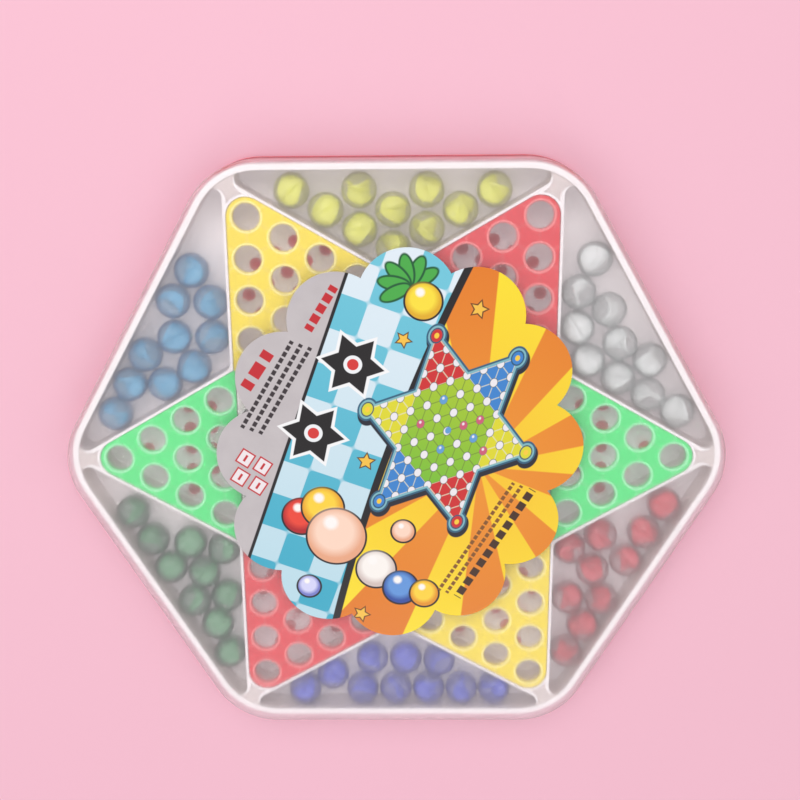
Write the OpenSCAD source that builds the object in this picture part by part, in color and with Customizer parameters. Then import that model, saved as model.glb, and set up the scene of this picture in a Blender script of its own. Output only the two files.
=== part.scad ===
// Chinese checkers set in a flat hexagonal box: a red base pan, a white tray with six
// marble compartments, seven hole plates that make the star, sixty glass marbles and a
// frosted lift-off lid with a printed label. Millimetres, +Z up, the box lying on its base.

/* [Marbles] */
// Diameter of one glass marble
marble_d = 16; // [12:0.5:20]
// Gap between marbles that stand in neighbouring holes
marble_gap = 2.5; // [2:0.25:6]
// Free height between a lying marble and the closed lid
headroom = 2; // [1:0.25:8]
// How far a lying marble stands above the plates
marble_rise = 2; // [0:0.5:6]

/* [Star plates] */
// Diameter of the hole that a marble sits in
hole_d = 12; // [9:0.5:14.5]
// Width of the chamfer round each hole
chamfer = 0.6; // [0.2:0.1:0.8]
// Thickness of a plate
plate_t = 2.2; // [1.6:0.2:4]
// Distance from the centre of an outer hole to the edge of the plate
edge_margin = 8.9; // [8.5:0.1:12]
// Clearance round each plate in its seat
plate_play = 0.2; // [0.1:0.05:0.4]
// Width of the engraved lines that link the holes
line_w = 0.8; // [0.4:0.1:1.6]
// Depth of the engraved lines
line_depth = 0.3; // [0.1:0.1:0.6]

/* [Tray] */
// Thickness of the outer wall of the tray
tray_wall = 1.2; // [0.8:0.1:2]
// Thickness of the floor of the tray
tray_floor = 1.2; // [0.8:0.1:3]
// Width of the ridge round each compartment and each plate
ridge_w = 1.2; // [0.8:0.1:2.4]
// Height of the ridges above the plates
ridge_rise = 0.5; // [0.2:0.1:1.5]
// Width of the ledge that carries the edge of a plate
ledge_w = 1.6; // [1:0.1:2.4]
// Width of the ribs under the joints between the plates
rib_w = 3; // [2:0.5:5]
// Land between the tip of the star and the outer wall
tip_land = 8.6; // [4:0.1:16]
// Radius of the two outer corners of a compartment
corner_r = 4; // [2:0.5:6]
// Radius of the inner corner of a compartment
apex_r = 5; // [2:0.5:7]
// Diameter of the round openings in the floor under the plates
vent_d = 6; // [3:0.5:8]
// Distance between neighbouring openings
vent_step = 10.3; // [9:0.1:12]

/* [Base] */
// Thickness of the wall of the base
base_wall = 1.2; // [0.8:0.1:2]
// Thickness of the floor of the base
base_floor = 1.4; // [1:0.1:3]
// Height of the foot bead that the box stands on
foot_h = 1.2; // [0.6:0.2:3]
// Width of the foot bead
foot_w = 5; // [3:0.5:10]
// Height of the step under the edge of the lid
flange_t = 2.2; // [1.4:0.2:4]
// Height of the wall of the base
base_h = 9; // [6:0.5:12]
// Clearance between the tray and the base
tray_play = 0.3; // [0.1:0.05:0.4]
// Height of the pad ring that the tray rests on
pad_h = 0.4; // [0.2:0.1:1]

/* [Lid] */
// Thickness of the top of the lid
lid_t = 1.4; // [1:0.1:3]
// Thickness of the skirt of the lid
lid_wall = 1.1; // [0.8:0.1:2.5]
// Clearance between the skirt and the base
lid_play = 0.6; // [0.3:0.05:0.8]
// Radius of the rounded corners of the box, seen from above
box_r = 34; // [24:1:44]
// Radius of the rounded top edge of the lid
lid_edge_r = 2.4; // [1.2:0.2:4]

/* [Label] */
// Length of the label, over its scallops
label_len = 188; // [150:2:210]
// Width of the label, over its scallops
label_w = 166; // [130:2:180]
// Radius of one scallop
scallop_r = 22; // [17:1:26]
// Thickness of the label
label_t = 0.25; // [0.1:0.05:0.6]
// Turn of the label, clockwise from the +Y axis
label_turn = 16; // [0:1:45]
// How far the middle of the label is from the middle of the lid, along +X and +Y
label_shift = [2, 5]; // [-8:1:8]

/* [Hidden] */
$fn = 64;
SCALLOPS = 12;
EDGE_STEPS = 6;
// Gap under a marble, and between a raised marble and the lid
marble_clear = 0.3;
cut = 1; // how far a cutting solid runs past the face that it opens
wall_bite = 0.3; // how far the outline of a compartment runs into the outer wall
pad_w = 3.2; // width of the pad ring, from the outer face of the base

// The star: rows of holes at 60 degrees, four rows in each tip
pitch = marble_d + marble_gap;
row_step = pitch * sqrt(3) / 2;
tip_x = 8 * row_step;
plate_joint = tip_x - 3.5 * row_step;

// Heights from the table up
base_z = foot_h + base_floor;
tray_z = base_z + pad_h;
floor_z = tray_z + tray_floor;
marble_z = floor_z + marble_clear + marble_d / 2;
plate_top = marble_z + marble_d / 2 - marble_rise;
plate_z = plate_top - plate_t;
ridge_z = plate_top + ridge_rise;
lid_under = marble_z + marble_d / 2 + headroom;
lid_top = lid_under + lid_t;
lid_z = flange_t + marble_clear;

// The box outline: six corner centres, and a radius for each nested face
wall_stack = lid_wall + lid_play + base_wall + tray_play + tray_wall;
corner_reach = tip_x + edge_margin + ridge_w + tip_land + wall_stack;
corner_x = corner_reach - box_r;
base_r = box_r - lid_wall - lid_play;
tray_r = base_r - base_wall - tray_play;
well_r = tray_r - tray_wall;

// The compartments: a triangle between two tips and the outer wall
side_gap = edge_margin + ridge_w;
comp_in = 4 * pitch + side_gap / cos(30);
comp_out = corner_x * cos(30) + well_r;
comp_half = (comp_out - comp_in) / tan(30);

// Where each marble lies: [along the wall, in from the wall], for the first
// design size, and SPOT_PITCH is the hole pitch of that size
SPOT_PITCH = 18.5;
TOP_STEP = 17.1;
TOP_SPOTS = [for (i = [0:3]) for (j = [0:3 - i])
    [(i - j) * TOP_STEP * cos(30), 9.4 + (3 - i - j) * TOP_STEP / 2]];
UPPER_LEFT_SPOTS = [[-30, 9.5], [-13.5, 8.5], [-21.5, 23.5], [1, 16.5], [-7.5, 31.5],
    [15, 8.5], [9, 30.5], [31.1, 8.6], [23, 22.5], [47.2, 8.8]];
UPPER_RIGHT_SPOTS = [[-34, 8.5], [-24.5, 21.5], [-10.5, 13.5], [-10.5, 29.8], [5.5, 16.5],
    [5.3, 32.8], [19.5, 8.5], [19.4, 24.7], [33.5, 16.6], [47.4, 8.6]];
LOWER_LEFT_SPOTS = [[37.8, 8.8], [21.5, 9], [11, 23.5], [0.2, 36], [5, 8.5],
    [-5.3, 20.9], [-15.6, 8.5], [-21.3, 23.8], [-31.6, 11.5], [-47.5, 8.5]];
LOWER_RIGHT_SPOTS = [[41, 9], [13, 26.5], [24.5, 9.5], [0, 36], [8, 9],
    [-4, 20.3], [-22.5, 23], [-15, 8.4], [-31.3, 8.8], [-47.5, 8.4]];
BOTTOM_SPOTS = [[-12.5, 25], [4, 25], [20.5, 24], [-32, 16.5], [-46, 8.5],
    [-17.5, 8.5], [-1, 8.5], [15.3, 8.5], [31.5, 8.5], [47.6, 8.5]];

// Points of a convex polygon with an arc of radius r[i] at each corner p[i]
function unit(v) = v / norm(v);
function arc_corner(a, b, c, r) =
    let (u = unit(a - b), w = unit(c - b), half = acos(u * w) / 2,
         m = b + unit(u + w) * r / sin(half), from = b + u * r / tan(half) - m,
         turn = sign(cross(b - a, c - b)) * (180 - 2 * half), n = 8)
    [for (i = [0:n]) let (t = turn * i / n)
        m + [from.x * cos(t) - from.y * sin(t), from.x * sin(t) + from.y * cos(t)]];
function rounded(p, r) =
    [for (i = [0:len(p) - 1])
        each arc_corner(p[(i + len(p) - 1) % len(p)], p[i], p[(i + 1) % len(p)], r[i])];

// Copies of a shape at the six tips of the star
module each_tip() {
    for (i = [0:5])
        rotate(60 * i) children();
}

// The outline of the box for one of its nested faces
module box_outline(r) {
    circle(corner_x, $fn = 6);
    each_tip() {
        translate([corner_x, 0]) circle(r);
        rotate(30)
            translate([corner_x * cos(30) - cut, -corner_x / 2])
                square([r + cut, corner_x]);
    }
}

// One nested face of the box as a solid, from height z0 to height z1
module box_slab(r, z0, z1) {
    translate([0, 0, z0])
        linear_extrude(z1 - z0) box_outline(r);
}

// Outline of the tip that points along +X, margin past its outer holes
module tip_outline(margin, inner_x) {
    run = (tip_x + margin / 2 - inner_x) / cos(30);
    back = [inner_x, margin * cos(30) + run / 2];
    polygon([back,
        for (t = [60:-7.5:-60]) [tip_x + margin * cos(t), margin * sin(t)],
        [back.x, -back.y]]);
}

// Outline of one compartment on the +Y side, its walls moved out by grow; it
// runs a little past the outer wall, which closes it
module compartment_outline(grow) {
    inner = comp_in - grow / cos(30);
    outer = comp_out + wall_bite;
    half = comp_half + (grow * 2 + wall_bite) / tan(30);
    polygon(rounded([[0, inner], [half, outer], [-half, outer]],
        [apex_r + grow, corner_r + grow, corner_r + grow]));
}

module base_pan() {
    color("crimson") {
        difference() {
            union() {
                box_slab(box_r, 0, flange_t);
                box_slab(base_r, 0, base_h);
            }
            box_slab(box_r - foot_w, -cut, foot_h);
            box_slab(base_r - base_wall, base_z, base_h + cut);
        }
        // the pads that the tray rests on
        difference() {
            box_slab(base_r - base_wall / 2, foot_h + base_floor / 2, tray_z);
            box_slab(base_r - pad_w, foot_h, tray_z + cut);
        }
        cylinder(h = tray_z, r = tip_x / 4);
    }
}

module inner_tray() {
    color("white")
    difference() {
        union() {
            box_slab(tray_r, tray_z, ridge_z);
            box_slab(base_r, base_h + tray_play, ridge_z);
        }
        // the land between the ridges, level with the plates
        translate([0, 0, plate_top])
            linear_extrude(ridge_rise + cut)
                difference() {
                    box_outline(well_r);
                    each_tip() tip_outline(edge_margin + ridge_w, plate_joint);
                    each_tip() rotate(30) rotate(-90) compartment_outline(ridge_w);
                }
        // the seat of the seven plates
        translate([0, 0, plate_z])
            linear_extrude(plate_t + ridge_rise + cut) {
                each_tip() tip_outline(edge_margin, 0);
            }
        // the hollows under the plates
        translate([0, 0, floor_z])
            linear_extrude(plate_z - floor_z + cut) {
                each_tip() tip_outline(edge_margin - ledge_w, plate_joint + rib_w / 2);
                rotate(30) circle((plate_joint - rib_w / 2) / cos(30), $fn = 6);
            }
        // the marble compartments
        translate([0, 0, floor_z])
            linear_extrude(ridge_z - floor_z + cut)
                intersection() {
                    each_tip() rotate(30) rotate(-90) compartment_outline(0);
                    box_outline(well_r);
                }
        each_tip() tip_vents();
    }
}

// Round openings in the floor, in rows across the tip
module tip_vents() {
    for (row = [0:3])
        for (k = [-min(row, 2):min(row, 2)])
            translate([tip_x - (row + 1) * vent_step, k * vent_step, tray_z - cut])
                cylinder(h = tray_floor + 2 * cut, d = vent_d);
}

// A through hole with a chamfered mouth
module marble_hole() {
    translate([0, 0, plate_z - cut]) cylinder(h = plate_t + 2 * cut, d = hole_d);
    translate([0, 0, plate_top - chamfer])
        cylinder(h = chamfer * 2, d1 = hole_d, d2 = hole_d + 4 * chamfer);
}

// An engraved line across count holes of one row, centred on the y axis
module row_line(count) {
    translate([-line_w / 2, -(count - 1) * pitch / 2, plate_top - line_depth])
        cube([line_w, (count - 1) * pitch, line_depth + cut]);
}

// The plate with ten holes in the tip that points along +X
module tip_plate() {
    reach = 2 * tip_x * [1, tan(30)];
    difference() {
        translate([0, 0, plate_z])
            linear_extrude(plate_t)
                intersection() {
                    tip_outline(edge_margin - plate_play, plate_joint + plate_play);
                    // its sixth of the star, clear of the plates beside it
                    translate([2 * plate_play, 0])
                        polygon([[0, 0], reach, [reach.x, -reach.y]]);
                }
        for (row = [0:3])
            for (k = [0:row])
                translate([tip_x - row * row_step, (k - row / 2) * pitch, 0]) marble_hole();
        for (turn = [0, 120, 240])
            translate([tip_x - 2 * row_step, 0, 0])
                rotate(turn)
                    for (row = [1:3])
                        translate([(2 - row) * row_step, 0, 0]) row_line(row + 1);
    }
}

// The hexagonal plate with sixty-one holes
module centre_plate() {
    color("ghostwhite")
    difference() {
        translate([0, 0, plate_z])
            linear_extrude(plate_t)
                rotate(30) circle((plate_joint - plate_play) / cos(30), $fn = 6);
        for (j = [-4:4])
            for (k = [0:8 - abs(j)])
                translate([j * row_step, (k - (8 - abs(j)) / 2) * pitch, 0]) marble_hole();
        for (turn = [0, 60, 120])
            rotate(turn)
                for (j = [-4:4])
                    translate([j * row_step, 0, 0]) row_line(9 - abs(j));
    }
}

// The outside of the lid from height z0 up to height z1; its round top edge is
// a stack of slabs
module lid_body(z0, z1) {
    for (i = [1:EDGE_STEPS]) {
        turn = 90 * i / EDGE_STEPS;
        top = lid_top - lid_edge_r * (1 - sin(turn));
        below = lid_top - lid_edge_r * (1 - sin(turn - 90 / EDGE_STEPS));
        if (top > z0 && below < z1)
            box_slab(box_r - lid_edge_r * (1 - cos(turn - 45 / EDGE_STEPS)), z0, min(top, z1));
    }
}

module lid_plate() {
    color("whitesmoke", 0.5) lid_body(lid_under, lid_top);
}

module lid_skirt() {
    color("whitesmoke", 0.5)
    difference() {
        lid_body(lid_z, lid_under);
        box_slab(box_r - lid_wall, lid_z - cut, lid_under + cut);
    }
}

// A scalloped oval, its middle a little off the middle of the lid
module label() {
    long = label_len / 2 - scallop_r;
    short = label_w / 2 - scallop_r;
    turns = [for (i = [0:SCALLOPS - 1]) (i + 0.5) * 360 / SCALLOPS];
    color("orange")
    translate([label_shift.x, label_shift.y, lid_top])
        rotate(-label_turn)
            linear_extrude(label_t) {
                polygon([for (t = turns) [short * cos(t), long * sin(t)]]);
                for (t = turns)
                    translate([short * cos(t), long * sin(t)]) circle(scallop_r);
            }
}

// Ten marbles in the compartment at the given angle, along = 1 or -1 for the
// end of the wall that the first coordinate runs to
module marble_set(angle, spots, along = 1) {
    rotate(angle)
        for (s = spots)
            translate([comp_out - s.y * pitch / SPOT_PITCH, along * s.x * pitch / SPOT_PITCH, marble_z])
                sphere(d = marble_d);
}

module tip_plate_right() { color("springgreen") tip_plate(); }
module tip_plate_upper_right() { color("tomato") rotate(60) tip_plate(); }
module tip_plate_upper_left() { color("gold") rotate(120) tip_plate(); }
module tip_plate_left() { color("springgreen") rotate(180) tip_plate(); }
module tip_plate_lower_left() { color("tomato") rotate(240) tip_plate(); }
module tip_plate_lower_right() { color("gold") rotate(300) tip_plate(); }

module marbles_yellow() { color("khaki") marble_set(90, TOP_SPOTS); }
module marbles_clear() { color("lightgrey") marble_set(30, UPPER_RIGHT_SPOTS, -1); }
module marbles_red() { color("indianred") marble_set(330, LOWER_RIGHT_SPOTS); }
module marbles_blue() { color("slateblue") marble_set(270, BOTTOM_SPOTS); }
module marbles_green() { color("seagreen") marble_set(210, LOWER_LEFT_SPOTS, -1); }
module marbles_sky() { color("deepskyblue") marble_set(150, UPPER_LEFT_SPOTS); }

base_pan();
inner_tray();
tip_plate_right();
tip_plate_upper_right();
tip_plate_upper_left();
tip_plate_left();
tip_plate_lower_left();
tip_plate_lower_right();
centre_plate();
lid_plate();
lid_skirt();
label();
marbles_yellow();
marbles_clear();
marbles_red();
marbles_blue();
marbles_green();
marbles_sky();
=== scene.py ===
"""Chinese checkers set: a hexagonal box with a frosted lid, a milky tray, seven
coloured hole plates, sixty cat's-eye marbles and a printed scalloped label.

Lengths in the helpers are millimetres; MM turns them into metres."""

import math
import random

import bmesh
import bpy
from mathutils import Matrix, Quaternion, Vector


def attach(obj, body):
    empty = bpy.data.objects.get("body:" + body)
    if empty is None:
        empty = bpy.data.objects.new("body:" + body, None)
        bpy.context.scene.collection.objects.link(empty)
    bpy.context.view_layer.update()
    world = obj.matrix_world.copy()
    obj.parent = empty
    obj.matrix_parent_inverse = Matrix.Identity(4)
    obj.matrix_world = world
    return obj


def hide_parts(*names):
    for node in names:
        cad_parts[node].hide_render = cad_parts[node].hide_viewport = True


MM = 0.001

# The star
PITCH = 18.5
HOLE_R = 6.0
PLATE_TOP = 18.5
RIDGE_TOP = 19.0
FLOOR_TOP = 4.2

# The box: corner centres, and the heights and radii of the lid
CORNER_X = 117.27
BOX_R = 34.0
LID_BOTTOM = 2.5
LID_UNDER = 22.5
LID_TOP = 23.9
LID_WALL = 1.1
LID_EDGE = 2.4
LID_INNER_EDGE = 1.2
LID_LIP = 0.25
LID_FLAT_IN = 5.0

# The axes of the printed artwork on the label: their turn and their shift along y.
# The outline of the film is the CAD node's own
ART_TURN = math.radians(20)
ART_SHIFT = 3.0


# ---------------------------------------------------------------- shader maths

class Val:
    """One output socket of a shader node, with arithmetic."""

    def __init__(self, finish, socket):
        self.finish, self.socket = finish, socket

    def math(self, operation, *values, clamp=False):
        settings = {"operation": operation, "use_clamp": clamp}
        return self.finish.node("Math", settings, dict(enumerate(values)))

    def __add__(self, other):
        return self.math("ADD", self, other)

    def __radd__(self, other):
        return self.math("ADD", other, self)

    def __sub__(self, other):
        return self.math("SUBTRACT", self, other)

    def __rsub__(self, other):
        return self.math("SUBTRACT", other, self)

    def __mul__(self, other):
        return self.math("MULTIPLY", self, other)

    def __rmul__(self, other):
        return self.math("MULTIPLY", other, self)

    def __truediv__(self, other):
        return self.math("DIVIDE", self, other)

    def __rtruediv__(self, other):
        return self.math("DIVIDE", other, self)

    def __pow__(self, other):
        return self.math("POWER", self, other)

    def __neg__(self):
        return self.math("MULTIPLY", self, -1.0)

    def __abs__(self):
        return self.math("ABSOLUTE", self)

    def at_least(self, other):
        return self.math("MAXIMUM", self, other)

    def at_most(self, other):
        return self.math("MINIMUM", self, other)

    def root(self):
        return self.math("SQRT", self)

    def wave(self):
        return self.math("SINE", self)

    def cosine(self):
        return self.math("COSINE", self)

    def angle_to(self, along):
        """The angle of the point that is self across and that far along."""
        return self.math("ARCTAN2", self, along)

    def folded(self, period):
        """The value brought into one period round zero."""
        half = period / 2
        return self.math("WRAP", self, half, -half)

    def edge(self, soft):
        """1 where the value is above zero and 0 below, over a soft width."""
        return self.math("MULTIPLY_ADD", self, 1 / soft, 0.5, clamp=True)


def paint(r, g, b):
    """A colour given as it looks on a screen, 0 to 255, as linear light."""
    def linear(c):
        c /= 255
        return c / 12.92 if c <= 0.04045 else ((c + 0.055) / 1.055) ** 2.4
    return (linear(r), linear(g), linear(b), 1.0)


class Finish:
    """One material while it is being made."""

    def __init__(self, name):
        self.material = bpy.data.materials.new(name)
        self.material.use_nodes = True
        self.tree = self.material.node_tree
        self.tree.nodes.clear()
        self.plastic = self.tree.nodes.new("ShaderNodeBsdfPrincipled")
        output = self.tree.nodes.new("ShaderNodeOutputMaterial")
        self.tree.links.new(self.plastic.outputs[0], output.inputs["Surface"])

    def feed(self, socket, value):
        if isinstance(value, Val):
            self.tree.links.new(value.socket, socket)
        else:
            socket.default_value = value

    def node(self, kind, settings=None, inputs=None, output=0):
        made = self.tree.nodes.new("ShaderNode" + kind)
        for key, value in (settings or {}).items():
            if key == "stops":
                ramp = made.color_ramp
                while len(ramp.elements) < len(value):
                    ramp.elements.new(0.5)
                for stop, (place, colour) in zip(ramp.elements, value):
                    stop.position, stop.color = place, colour
            else:
                setattr(made, key, value)
        for key, value in (inputs or {}).items():
            self.feed(made.inputs[key], value)
        return Val(self, made.outputs[output])

    def position(self):
        """x, y and z of the point, in millimetres, in the frame of the model."""
        place = self.node("TexCoord", output="Object")
        scaled = self.node("VectorMath", {"operation": "SCALE"},
                           {0: place, "Scale": 1 / MM})
        self.place = scaled
        return [self.node("SeparateXYZ", None, {0: scaled}, output=axis) for axis in "XYZ"]

    def mix(self, mask, low, high):
        """Colour low where mask is 0 and high where it is 1."""
        return self.node("Mix", {"data_type": "RGBA"}, {0: mask, 6: low, 7: high}, output=2)

    def noise(self, size, detail=3.0, rough=0.5):
        """Noise with patches of that size in millimetres."""
        return self.node("TexNoise", None, {"Vector": self.place, "Scale": 1 / size,
                                            "Detail": detail, "Roughness": rough})

    def bump(self, height, depth):
        """A normal from a height pattern whose full step is depth millimetres."""
        return self.node("Bump", None, {"Strength": 1.0, "Distance": depth * MM,
                                        "Height": height})

    def set(self, **values):
        for name, value in values.items():
            self.feed(self.plastic.inputs[name.replace("_", " ")], value)
        return self.material


def dress(node, material):
    """Puts a material on every slot of a CAD node."""
    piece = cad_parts[node]
    if not piece.material_slots:
        piece.data.materials.append(material)
    for each in piece.material_slots:
        each.material = material


# ---------------------------------------------------------------- patterns

def hole_distance(x, y, pitch):
    """Distance from the nearest point of the hole pattern, rows across x."""
    tall = pitch * math.sqrt(3)
    first = (x.folded(tall) ** 2 + y.folded(pitch) ** 2).root()
    second = ((x + tall / 2).folded(tall) ** 2 + (y + pitch / 2).folded(pitch) ** 2).root()
    return first.at_most(second)


def turned(x, y, degrees):
    """The point seen from axes that are turned by that angle."""
    c, s = math.cos(math.radians(degrees)), math.sin(math.radians(degrees))
    return x * c + y * s, y * c - x * s


def link_distance(x, y, pitch):
    """Distance from the nearest line that links the points of the hole pattern."""
    nearest = None
    for degrees in (0, 60, 120):
        across = abs(turned(x, y, degrees)[0].folded(pitch * math.sqrt(3) / 2))
        nearest = across if nearest is None else nearest.at_most(across)
    return nearest


# ---------------------------------------------------------------- plastics

def base_plastic():
    f = Finish("base_red_plastic")
    f.position()
    cloud = f.noise(18)
    grain = f.noise(0.5, 2.0)
    return f.set(Base_Color=f.mix(cloud, paint(214, 44, 62), paint(196, 32, 50)),
                 Roughness=0.34 + 0.12 * f.noise(3),
                 Normal=f.bump(grain, 0.012), Specular_IOR_Level=0.5)


def tray_plastic():
    """Milky plastic, painted lighter or darker by height: a painted highlight on the ridge tops
    and rim, a greyer land, and a well floor painted brighter and given a faint painted glow
    against the shade of the wells.
    """
    f = Finish("tray_milky_plastic")
    z = f.position()[2]
    cloud = f.noise(30, 2.0)
    grain = f.noise(0.45, 2.0)
    # painted highlight: the tops of the ridges and rim are painted paler than the land
    ridge_top_highlight = (z - RIDGE_TOP + 0.25).edge(0.2)
    # painted light: the well floor, which lies in the shade of the walls, is painted brighter
    deep = 1.0 - (z - FLOOR_TOP).edge(2.0)
    land = f.mix(cloud, paint(204, 193, 191), paint(214, 203, 201))
    colour = f.mix(ridge_top_highlight, land, paint(238, 233, 234))
    colour = f.mix(deep, colour, f.mix(cloud, paint(250, 247, 248), paint(254, 252, 254)))
    # painted glow: the well floor emits a little light though it is no lamp
    glow = f.mix(deep, paint(0, 0, 0), f.mix(cloud, paint(244, 238, 244), paint(252, 246, 252)))
    return f.set(Base_Color=colour, Roughness=0.4 + 0.1 * f.noise(4),
                 Normal=f.bump(grain, 0.01), Specular_IOR_Level=0.4,
                 Emission_Color=glow, Emission_Strength=0.27)


def plate_plastic(name, colour, deep, pale):
    """Coloured plate: a painted highlight, a pale ring where the chamfer round each hole
    catches the light, and pale link lines.
    """
    f = Finish(name)
    x, y, z = f.position()
    away = hole_distance(x, y, PITCH)
    # painted highlight: a pale ring on the chamfer round each hole, where it catches the light
    rim = (away - HOLE_R - 0.1).edge(0.5) * (HOLE_R + 1.15 - away).edge(0.6)
    link = (0.5 - link_distance(x, y, PITCH)).edge(0.35)
    top = (z - PLATE_TOP + 0.8).edge(0.2)
    cloud = f.noise(22, 3.0)
    body = f.mix(cloud, colour, deep)
    body = f.mix(link * 0.22 * top, body, pale)
    # the pale colour laid on the chamfer ring is a painted highlight
    body = f.mix(rim * 0.75 * top, body, pale)
    grain = f.noise(0.6, 2.0)
    return f.set(Base_Color=body, Roughness=0.36 + 0.14 * f.noise(5) - 0.08 * rim,
                 Normal=f.bump(grain + 6.0 * rim, 0.012),
                 Specular_IOR_Level=0.45)


def lid_plastic():
    """Frosted plastic: part clear, part blurred, part white haze."""
    f = Finish("lid_frosted_plastic")
    f.position()
    cloud = f.noise(45, 2.0)
    grain = f.noise(0.35, 2.0)
    grazing = f.node("LayerWeight", None, {"Blend": 0.35}, output="Facing")
    return f.set(Base_Color=f.mix(cloud, paint(246, 242, 244), paint(252, 249, 250)),
                 Roughness=0.32 + 0.06 * cloud, IOR=1.3,
                 Transmission_Weight=0.84,
                 Alpha=(0.34 + 0.04 * cloud + 0.5 * grazing ** 3).at_most(1.0),
                 Coat_Weight=0.25, Coat_Roughness=0.3,
                 Normal=f.bump(grain, 0.004))


# ---------------------------------------------------------------- label artwork

class Art:
    """Colour layers over the label, in millimetres along its own two axes."""

    def __init__(self, finish, colour, u, v):
        self.f, self.colour, self.u, self.v = finish, colour, u, v

    def lay(self, mask, colour):
        self.colour = self.f.mix(mask, self.colour, colour)

    def away(self, cu, cv):
        return ((self.u - cu) ** 2 + (self.v - cv) ** 2).root()

    def disc(self, cu, cv, r, colour, soft=0.25):
        self.lay((r - self.away(cu, cv)).edge(soft), colour)

    def ball(self, cu, cv, r, colour, shade, line=0.9):
        """A printed marble: dark outline, shaded body, light spot."""
        self.disc(cu, cv, r + line, paint(30, 26, 32))
        self.disc(cu, cv, r, shade)
        self.disc(cu - 0.1 * r, cv + 0.14 * r, 0.8 * r, colour, soft=0.35 * r)
        self.disc(cu - 0.34 * r, cv + 0.42 * r, 0.24 * r, paint(252, 250, 246), soft=0.15 * r)

    def bar(self, cu, cv, degrees, length, width, colour, dash=0.0):
        """A plain rounded bar, cut into dashes if dash is its step."""
        along, across = turned(self.u - cu, self.v - cv, degrees)
        body = (length / 2 - abs(along)).edge(0.3) * (width / 2 - abs(across)).edge(0.3)
        if dash:
            body = body * (0.36 * dash - abs(along.folded(dash))).edge(0.3)
        self.lay(body, colour)

    def leaf(self, cu, cv, degrees, length, width, colour):
        along, across = turned(self.u - cu, self.v - cv, degrees)
        oval = ((along / (length / 2)) ** 2 + (across / (width / 2)) ** 2).root()
        self.lay((1.0 - oval).edge(0.1), colour)

    def burst(self, cu, cv, points, outer, inner, degrees):
        """Mask of a pointed star: straight edges from outer to inner points."""
        along, across = turned(self.u - cu, self.v - cv, degrees)
        step = 2 * math.pi / points
        angle = abs(across.angle_to(along).folded(step))
        reach = (along ** 2 + across ** 2).root()
        flat = math.atan2(inner * math.sin(step / 2), outer - inner * math.cos(step / 2))
        return outer * math.sin(flat) - reach * (angle + (flat - math.pi / 2)).cosine()


BLACK = paint(22, 20, 24)
AZURE = paint(96, 160, 214)
ROSE = paint(206, 92, 120)
SKIN, SKIN_SHADE = paint(252, 218, 196), paint(234, 170, 134)
SCARLET = paint(196, 34, 44)

# Where the coloured fields of the print meet, along its first axis
CHECK_EDGE = -3.6
GREY_EDGE = -47.8


def print_rays(f, u, v):
    """Orange and yellow rays, which leave from a point behind the little board."""
    du, dv = u - 38.0, v - 7.8
    angle = dv.angle_to(du)
    far = (du ** 2 + dv ** 2).root()
    rays = (angle * 10.0 + 0.6).wave() + 0.12 * (angle * 3.0).wave()
    glow = (far * 0.011).at_most(1.0)
    yellow = f.mix(glow, paint(248, 196, 44), paint(250, 226, 42))
    orange = f.mix(glow, paint(238, 150, 44), paint(228, 126, 28))
    return f.mix((rays * far * 0.1).edge(0.5), yellow, orange)


def print_fields(art):
    """Blue checks on the left, then a grey strip, each with a dark line."""
    f, u, v = art.f, art.u, art.v
    line = CHECK_EDGE + 0.0006 * v * v
    check = ((u - CHECK_EDGE) * (math.pi / 15.5)).wave()
    check = check * (v * (math.pi / 16.5) + 0.6).wave()
    pale = (0.5 + v * 0.006).at_least(0.0).at_most(1.0)
    light = f.mix(pale, paint(186, 222, 234), paint(224, 238, 246))
    deep = f.mix(pale, paint(54, 172, 200), paint(112, 200, 220))
    art.lay((line - u).edge(0.3), f.mix(check.edge(0.05), light, deep))
    grey = f.mix(f.noise(9, 4.0), paint(186, 180, 182), paint(202, 197, 198))
    art.lay((GREY_EDGE - u).edge(0.3), grey)
    art.lay((0.75 - abs(u - GREY_EDGE)).edge(0.3), BLACK)
    art.lay((1.7 - abs(u - line)).edge(0.3), BLACK)


def triangle(p, q, start, reach):
    """Below zero inside a triangle whose corners are at that reach."""
    worst = None
    for k in range(3):
        a = math.radians(start + 120 * k)
        side = p * math.cos(a) + q * math.sin(a)
        worst = side if worst is None else worst.at_least(side)
    return worst - reach / 2


def tip_distance(p, q, reach):
    """Distance from the nearest of the six tips of the star."""
    nearest = None
    for degrees in (0, 60, 120):
        along, across = turned(p, q, degrees)
        tip = ((abs(along) - reach) ** 2 + across ** 2).root()
        nearest = tip if nearest is None else nearest.at_most(tip)
    return nearest


def board_outline(p, q, reach, margin=1.4, ring=4.4):
    """Below zero inside the star with a round ear at each tip."""
    star = triangle(p, q, 60, reach).at_most(triangle(p, q, 0, reach)) - margin
    return star.at_most(tip_distance(p, q, reach) - ring)


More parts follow.
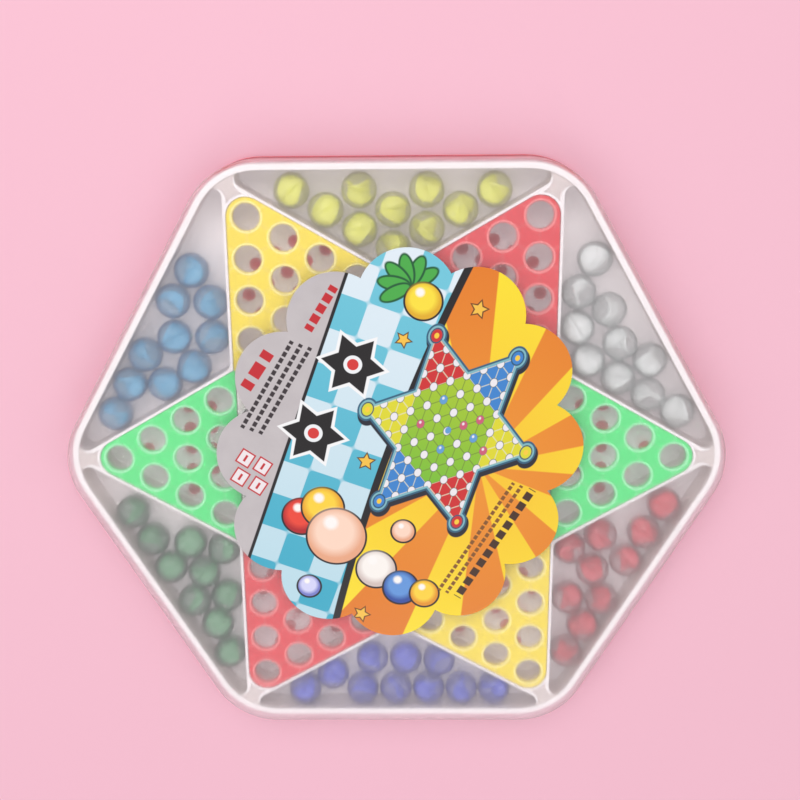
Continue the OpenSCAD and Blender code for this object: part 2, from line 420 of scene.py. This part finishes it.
def print_board(art):
    """The little board, drawn a little leaning, with a ring at each tip."""
    f = art.f
    reach = 43.0
    step = reach / (3 * math.sqrt(3))
    du, dv = art.u - 18.3, art.v - 19.0
    p, q = 1.15 * du + 0.024 * dv, 0.9 * dv - 0.06 * du
    star, ring = board_outline(p, q, reach), tip_distance(p, q, reach)
    art.lay((1.2 - board_outline(p - 1.2, q + 1.4, reach)).edge(0.4), paint(30, 34, 48))
    art.lay((0.7 - star).edge(0.3), paint(48, 96, 124))
    art.lay((-0.2 - star).edge(0.3), paint(126, 186, 196))

    # yellow, red and blue tips round a green middle
    angle = q.angle_to(p)
    red = math.pi / 6 - abs((angle + math.pi / 3).folded(math.pi))
    blue = math.pi / 6 - abs((angle - math.pi / 3).folded(math.pi))
    tip = f.mix(red.edge(0.02), paint(222, 218, 44), paint(206, 42, 44))
    tip = f.mix(blue.edge(0.02), tip, paint(58, 132, 206))
    meadow = f.mix((0.5 - q * 0.014).at_least(0.0).at_most(1.0),
                   paint(180, 204, 40), paint(104, 190, 52))
    in_tip = triangle(p, q, 60, reach).at_least(triangle(p, q, 0, reach)).edge(0.3)
    inside = (-1.1 - star).edge(0.3)
    art.lay(inside, f.mix(in_tip, meadow, tip))

    # link lines, holes and the rings at the tips
    away = hole_distance(p, q, step)
    lines = f.mix(in_tip, paint(112, 136, 52), paint(226, 226, 196))
    art.lay(inside * (0.22 - link_distance(p, q, step)).edge(0.3) * 0.8, lines)
    art.lay((2.05 - away).edge(0.3) * inside, paint(92, 104, 96))
    art.lay((1.75 - away).edge(0.3) * inside, paint(238, 236, 240))
    art.lay((1.5 - ((p - 0.4) ** 2 + (q - 0.4) ** 2).root()).edge(0.3), AZURE)
    for r, colour in ((3.3, paint(40, 84, 112)), (2.7, tip), (1.2, paint(248, 206, 60))):
        art.lay((r - ring).edge(0.3), colour)

    # beads, each at a row and a place along that row
    for row, place, ink in ((-1, 1, AZURE), (1, 0, ROSE), (2, 1, ROSE), (-2, 0, ROSE),
                            (2, 0, AZURE), (0, -1, AZURE), (3, -1, ROSE)):
        bead_p, bead_q = row * step * math.sqrt(3) / 2, (place + (row % 2) / 2) * step
        art.lay((1.9 - ((p - bead_p) ** 2 + (q - bead_q) ** 2).root()).edge(0.3), ink)
        spot = ((p - bead_p + 0.4) ** 2 + (q - bead_q - 0.6) ** 2).root()
        art.lay((0.6 - spot).edge(0.5), paint(240, 240, 246))


def print_stars(art):
    """Small gold stars, then two dark six-pointed tokens with a white border."""
    for cu, cv, size, turn in ((12.2, 76.5, 3.7, 20), (-14.5, 52.4, 3.3, 5),
                               (-11.5, -7.3, 3.7, 30), (11.5, -80.7, 3.6, 12)):
        art.lay(art.burst(cu, cv, 5, size + 1.1, size * 0.66, turn).edge(0.3),
                paint(92, 50, 20))
        art.lay(art.burst(cu, cv, 5, size, size * 0.48, turn).edge(0.3),
                paint(246, 196, 72))
    size, border = 14.5, 2.4
    for cu, cv in ((-32.0, 34.0), (-38.5, -2.5)):
        art.lay(art.burst(cu, cv, 6, size + border, (size + border) * 0.6, 8).edge(0.3),
                paint(246, 248, 248))
        art.lay(art.burst(cu, cv, 6, size, size * 0.58, 8).edge(0.3), paint(20, 18, 20))
        art.disc(cu, cv, 4.2, paint(240, 244, 246))
        art.disc(cu, cv, 2.6, paint(214, 52, 50))


def print_marbles(art):
    """Printed marbles, the upper one with a tuft of leaves behind it."""
    tuft_u, tuft_v, tuft_r = -20.0, 76.0, 7.0
    for degrees in (50, 85, 120, 155, 190, 225):
        a = math.radians(degrees)
        cu, cv = tuft_u + tuft_r * math.cos(a), tuft_v + tuft_r * math.sin(a)
        art.leaf(cu, cv, degrees, 15.5, 7.2, paint(20, 92, 48))
        art.leaf(cu, cv, degrees, 13.5, 5.2, paint(70, 172, 70))
    for cu, cv, r, colour, shade in (
            (-12.0, 71.5, 8.0, paint(250, 226, 60), paint(226, 176, 34)),
            (-31.0, -43.0, 8.5, paint(236, 70, 52), paint(178, 26, 34)),
            (-23.0, -35.5, 9.5, paint(252, 214, 62), paint(232, 158, 34)),
            (-12.5, -47.0, 13.5, SKIN, SKIN_SHADE),
            (10.5, -56.5, 9.0, paint(250, 246, 240), paint(212, 196, 190)),
            (16.0, -34.0, 5.2, SKIN, SKIN_SHADE),
            (24.5, -61.5, 8.0, paint(98, 152, 220), paint(40, 74, 160)),
            (36.0, -60.5, 6.5, paint(252, 214, 62), paint(232, 150, 30)),
            (-16.5, -75.5, 5.2, paint(214, 216, 250), paint(120, 128, 206))):
        art.ball(cu, cv, r, colour, shade)


def print_bars(art):
    """Plain bars and small tiles, which fill the grey strip and the right side."""
    art.bar(-53.4, 53.4, 78, 23, 4.0, SCARLET, dash=5.4)
    art.bar(-71.5, 17.0, 76, 20, 5.6, SCARLET, dash=9.5)
    for k in range(3):
        art.bar(-65.4 + 4.3 * k, 12.0, 79, 47, 1.9, paint(52, 44, 48), dash=3.3)
    for cu, cv in ((-64.0, -24.5), (-63.6, -34.0), (-54.6, -35.4), (-55.4, -25.6)):
        for length, width, colour in ((7.6, 7.0, SCARLET), (6.2, 5.6, paint(240, 232, 234)),
                                      (3.4, 1.1, SCARLET)):
            art.bar(cu, cv, 76, length, width, colour)
    art.bar(58.2, -25.6, 77.5, 64, 3.7, paint(66, 40, 24), dash=5.6)
    for k in range(2):
        art.bar(52.8 - 4.0 * k, -25.4, 77.5, 64, 1.7, paint(132, 84, 34), dash=2.9)


def label_print():
    """The whole print, from the rays up to the bars."""
    f = Finish("label_printed_film")
    x, y = f.position()[:2]
    c, s = math.cos(ART_TURN), math.sin(ART_TURN)
    shifted = y - ART_SHIFT
    u, v = x * c - shifted * s, x * s + shifted * c
    art = Art(f, print_rays(f, u, v), u, v)
    for layer in (print_fields, print_board, print_stars, print_marbles, print_bars):
        layer(art)
    return f.set(Base_Color=art.colour, Roughness=0.26 + 0.1 * f.noise(60, 2.0),
                 Coat_Weight=0.35, Coat_Roughness=0.12,
                 Normal=f.bump(f.noise(14, 2.0), 0.03))


# ---------------------------------------------------------------- glass

def marble_glass(name, colour, rim, clear):
    """Tinted glass: clear in the middle, deeper towards the rim."""
    f = Finish(name)
    f.position()
    facing = f.node("LayerWeight", None, {"Blend": 0.5}, output="Facing")
    swirl = f.noise(5, 2.0)
    deep = f.mix(swirl, colour, rim)
    edge = (facing * 1.5).at_most(1.0)
    return f.set(Base_Color=f.mix(edge, f.mix(0.75, deep, colour), rim),
                 Roughness=0.03 + 0.03 * swirl,
                 Alpha=(clear + 0.1 * swirl + 1.1 * facing ** 2).at_most(0.92),
                 Specular_IOR_Level=0.9, Coat_Weight=1.0, Coat_Roughness=0.02,
                 Normal=f.bump(f.noise(2.2, 2.0), 0.006))


def ribbon_glass(name, colour, light):
    """The opaque coloured ribbon inside a marble, streaked along its length."""
    f = Finish(name)
    f.position()
    streak = f.noise(2.4, 4.0, 0.6)
    mottle = f.noise(0.8, 3.0)
    body = f.mix(streak, colour, light)
    return f.set(Base_Color=f.mix(mottle * 0.35, body, light),
                 Roughness=0.3 + 0.15 * mottle, Normal=f.bump(mottle, 0.05))


def smooth_piece(name, mesh, material):
    """A finished bmesh as a smooth object with one material."""
    bmesh.ops.recalc_face_normals(mesh, faces=mesh.faces)
    data = bpy.data.meshes.new(name)
    mesh.to_mesh(data)
    mesh.free()
    for face in data.polygons:
        face.use_smooth = True
    data.materials.append(material)
    piece = bpy.data.objects.new(name, data)
    bpy.context.collection.objects.link(piece)
    return piece


def marble_centres(node):
    """Centre of each ball of a CAD node, from its own mesh."""
    loose = bmesh.new()
    loose.from_mesh(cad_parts[node].data)
    bmesh.ops.remove_doubles(loose, verts=loose.verts, dist=1e-6)
    seen, centres = set(), []
    for first in loose.verts:
        if first.index in seen:
            continue
        stack, group = [first], []
        seen.add(first.index)
        while stack:
            vert = stack.pop()
            group.append(vert.co)
            for edge in vert.link_edges:
                other = edge.other_vert(vert)
                if other.index not in seen:
                    seen.add(other.index)
                    stack.append(other)
        low = [min(co[i] for co in group) for i in range(3)]
        high = [max(co[i] for co in group) for i in range(3)]
        centres.append(Vector((a + b) / 2 for a, b in zip(low, high)))
    loose.free()
    return centres


def blade(mesh, centre, turn, start, reach, width, twist, rows=15, columns=6, curl=0.35):
    """One twisted blade of a cat's eye, from the axis of the marble outward."""
    verts = []
    for side in (-1, 1):
        for i in range(rows):
            s = -1 + 2 * i / (rows - 1)
            across = math.sqrt(max(0.0, 1 - s * s))
            angle = start + twist * s
            for j in range(columns):
                t = j / (columns - 1)
                r = reach * across * t
                bend = angle + curl * t * t
                thick = side * width * (1 - 0.7 * t) * (0.25 + 0.75 * across)
                local = Vector((r * math.cos(bend) - thick * math.sin(bend),
                                r * math.sin(bend) + thick * math.cos(bend),
                                reach * s))
                verts.append(mesh.verts.new(centre + turn @ (local * MM)))
    count = rows * columns
    for layer in (0, 1):
        for i in range(rows - 1):
            for j in range(columns - 1):
                a = layer * count + i * columns + j
                quad = [verts[a], verts[a + 1], verts[a + 1 + columns], verts[a + columns]]
                mesh.faces.new(quad if layer else quad[::-1])
    rim = (list(range(columns)) + [i * columns + columns - 1 for i in range(1, rows)]
           + [(rows - 1) * columns + j for j in range(columns - 2, -1, -1)]
           + [i * columns for i in range(rows - 2, 0, -1)])
    for a, b in zip(rim, rim[1:] + rim[:1]):
        mesh.faces.new([verts[a], verts[b], verts[count + b], verts[count + a]])


def cat_eyes(colour, material, blades, seed, reach=7.1, width=0.8):
    """The ribbons inside the ten marbles of one colour."""
    rng = random.Random(seed)
    mesh = bmesh.new()
    for centre in marble_centres("marbles_" + colour):
        axis = Quaternion((0, 0, 1), rng.uniform(0, 2 * math.pi)) @ Quaternion(
            (1, 0, 0), math.radians(rng.uniform(35, 90)))
        size = reach * rng.uniform(0.86, 1.0)
        twist = rng.choice((-1, 1)) * rng.uniform(0.5, 1.1)
        start = rng.uniform(0, 2 * math.pi)
        for k in range(blades):
            blade(mesh, centre, axis, start + 2 * math.pi * k / blades, size,
                  width * rng.uniform(0.8, 1.2), twist)
    piece = smooth_piece("cat_eyes_" + colour, mesh, material)
    "glass_" + colour
    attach(piece, colour + "_marbles")


# ---------------------------------------------------------------- the lid

def hexagon_ring(r, per_corner=14):
    """Points of the box outline, r out from the six corner centres."""
    points = []
    for corner in range(6):
        middle = math.radians(60 * corner)
        for i in range(per_corner + 1):
            a = middle + math.radians(-30 + 60 * i / per_corner)
            points.append((CORNER_X * math.cos(middle) + r * math.cos(a),
                           CORNER_X * math.sin(middle) + r * math.sin(a)))
    return points


def lid_shell():
    """The lid as one smooth shell with a rounded top edge."""
    outer_steps, inner_steps, bevel = 8, 4, 0.1
    profile = [(BOX_R - LID_WALL + bevel, LID_BOTTOM), (BOX_R - LID_LIP, LID_BOTTOM),
               (BOX_R, LID_BOTTOM + LID_LIP)]
    for i in range(outer_steps + 1):
        a = math.radians(90 * i / outer_steps)
        profile.append((BOX_R - LID_EDGE * (1 - math.cos(a)),
                        LID_TOP - LID_EDGE * (1 - math.sin(a))))
    profile.append((BOX_R - LID_FLAT_IN, LID_TOP))
    inner = [(BOX_R - LID_FLAT_IN, LID_UNDER)]
    for i in range(inner_steps + 1):
        a = math.radians(90 - 90 * i / inner_steps)
        inner.append((BOX_R - LID_WALL - LID_INNER_EDGE * (1 - math.cos(a)),
                      LID_UNDER - LID_INNER_EDGE * (1 - math.sin(a))))
    inner.append((BOX_R - LID_WALL, LID_BOTTOM + bevel))
    mesh = bmesh.new()
    rings = []
    for r, z in profile + inner:
        rings.append([mesh.verts.new((px * MM, py * MM, z * MM))
                      for px, py in hexagon_ring(r)])
    last = len(profile) - 1
    count = len(rings[0])
    for k in range(len(rings)):
        if k == last:
            continue  # the flat top and underside close with a hub each
        low, high = rings[k], rings[(k + 1) % len(rings)]
        for i in range(count):
            j = (i + 1) % count
            mesh.faces.new((low[i], low[j], high[j], high[i]))
    for ring, z in ((rings[last], LID_TOP), (rings[last + 1], LID_UNDER)):
        hub = mesh.verts.new((0, 0, z * MM))
        for i in range(count):
            mesh.faces.new((ring[i], ring[(i + 1) % count], hub))
    piece = smooth_piece("lid_shell", mesh, lid_plastic())
    piece.visible_shadow = False  # the haze spreads light, it doesn't stop it
    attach(piece, "lid")
    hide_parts("lid_plate", "lid_skirt")


# ---------------------------------------------------------------- surroundings

def floor():
    f = Finish("studio_floor")
    f.position()
    f.set(Base_Color=f.mix(f.noise(400, 2.0), paint(244, 192, 209), paint(242, 189, 206)),
          Roughness=0.75)
    bpy.ops.mesh.primitive_plane_add(size=6, location=(0, 0, 0))
    sheet = bpy.context.object
    sheet.name = "studio_floor"
    sheet.data.materials.append(f.material)


def softbox(name, place, aim, size, power, tint=(1.0, 1.0, 1.0)):
    lamp = bpy.data.lights.new(name, "AREA")
    lamp.shape, lamp.size, lamp.size_y = "RECTANGLE", size[0], size[1]
    lamp.energy, lamp.color = power, tint
    holder = bpy.data.objects.new(name, lamp)
    bpy.context.collection.objects.link(holder)
    holder.location = place
    holder.rotation_mode = "QUATERNION"
    holder.rotation_quaternion = (Vector(aim) - Vector(place)).to_track_quat("-Z", "Y")


def studio():
    softbox("key_softbox", (-0.15, 0.75, 0.85), (0, 0.02, 0), (1.1, 0.6), 4.6)
    softbox("left_softbox", (-0.9, -0.2, 0.9), (0, 0, 0), (0.8, 1.0), 2.6)
    softbox("right_softbox", (0.9, -0.1, 0.9), (0, 0, 0), (0.8, 1.0), 2.2)
    softbox("front_softbox", (0.0, -0.9, 0.9), (0, 0, 0), (1.0, 0.7), 2.4)
    world = bpy.data.worlds.new("studio_air")
    bpy.context.scene.world = world
    world.use_nodes = True
    sky = world.node_tree.nodes["Background"]
    sky.inputs["Color"].default_value = (1.0, 0.94, 0.96, 1.0)
    sky.inputs["Strength"].default_value = 0.55
    bpy.context.scene.view_settings.view_transform = "Standard"


def camera():
    lens = bpy.data.cameras.new("camera")
    lens.lens, lens.sensor_width = 49.9, 36.0
    lens.clip_start, lens.clip_end = 0.01, 20.0
    holder = bpy.data.objects.new("camera", lens)
    bpy.context.collection.objects.link(holder)
    holder.location = (0.0104, 0.1686, 0.5036)
    holder.rotation_euler = [math.radians(a) for a in (-16.2, 0.8, -0.5)]
    bpy.context.scene.camera = holder


# ---------------------------------------------------------------- the scene

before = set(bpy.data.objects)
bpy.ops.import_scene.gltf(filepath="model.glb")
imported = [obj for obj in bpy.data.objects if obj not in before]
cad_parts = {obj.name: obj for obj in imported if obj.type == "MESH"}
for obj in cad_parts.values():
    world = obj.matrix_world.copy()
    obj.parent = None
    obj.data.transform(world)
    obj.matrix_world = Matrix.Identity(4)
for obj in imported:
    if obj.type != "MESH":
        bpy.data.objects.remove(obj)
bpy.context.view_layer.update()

camera()
studio()
floor()

dress("base_pan", base_plastic())
dress("inner_tray", tray_plastic())
# the last colour of each plate serves both its link lines and the painted highlight on the hole
# chamfers
yellow = plate_plastic("plate_yellow_plastic", paint(240, 218, 44), paint(234, 210, 36),
                       paint(252, 243, 170))
red = plate_plastic("plate_red_plastic", paint(220, 44, 58), paint(210, 36, 50),
                    paint(244, 150, 150))
green = plate_plastic("plate_green_plastic", paint(66, 226, 124), paint(56, 216, 114),
                      paint(178, 248, 200))
white = plate_plastic("plate_white_plastic", paint(238, 236, 230), paint(230, 227, 222),
                      paint(250, 250, 248))
for side, plastic in (("right", green), ("left", green), ("upper_right", red),
                      ("lower_left", red), ("upper_left", yellow), ("lower_right", yellow)):
    dress("tip_plate_" + side, plastic)
dress("centre_plate", white)
dress("label", label_print())
lid_shell()

MARBLES = {
    # name: glass, rim, ribbon, ribbon light, clearness of the glass, blades
    "yellow": (paint(222, 224, 116), paint(164, 166, 84), paint(222, 228, 30),
               paint(250, 250, 150), 0.16, 3),
    "clear": (paint(214, 220, 218), paint(138, 148, 146), paint(222, 230, 228),
              paint(255, 255, 255), 0.16, 2),
    "red": (paint(204, 150, 154), paint(136, 84, 92), paint(198, 22, 48),
            paint(240, 120, 132), 0.16, 3),
    "blue": (paint(92, 104, 206), paint(44, 50, 140), paint(46, 56, 216),
             paint(164, 174, 252), 0.24, 2),
    "green": (paint(92, 140, 112), paint(52, 78, 66), paint(82, 160, 108),
              paint(168, 216, 178), 0.3, 2),
    "sky": (paint(92, 176, 214), paint(34, 88, 138), paint(20, 146, 208),
            paint(170, 228, 250), 0.24, 2),
}
FIRST_SEED = 11
for seed, (colour, looks) in enumerate(MARBLES.items(), FIRST_SEED):
    glass, rim, ribbon, light, clear, blades = looks
    dress("marbles_" + colour, marble_glass("marble_glass_" + colour, glass, rim, clear))
    cat_eyes(colour, ribbon_glass("marble_ribbon_" + colour, ribbon, light), blades, seed)
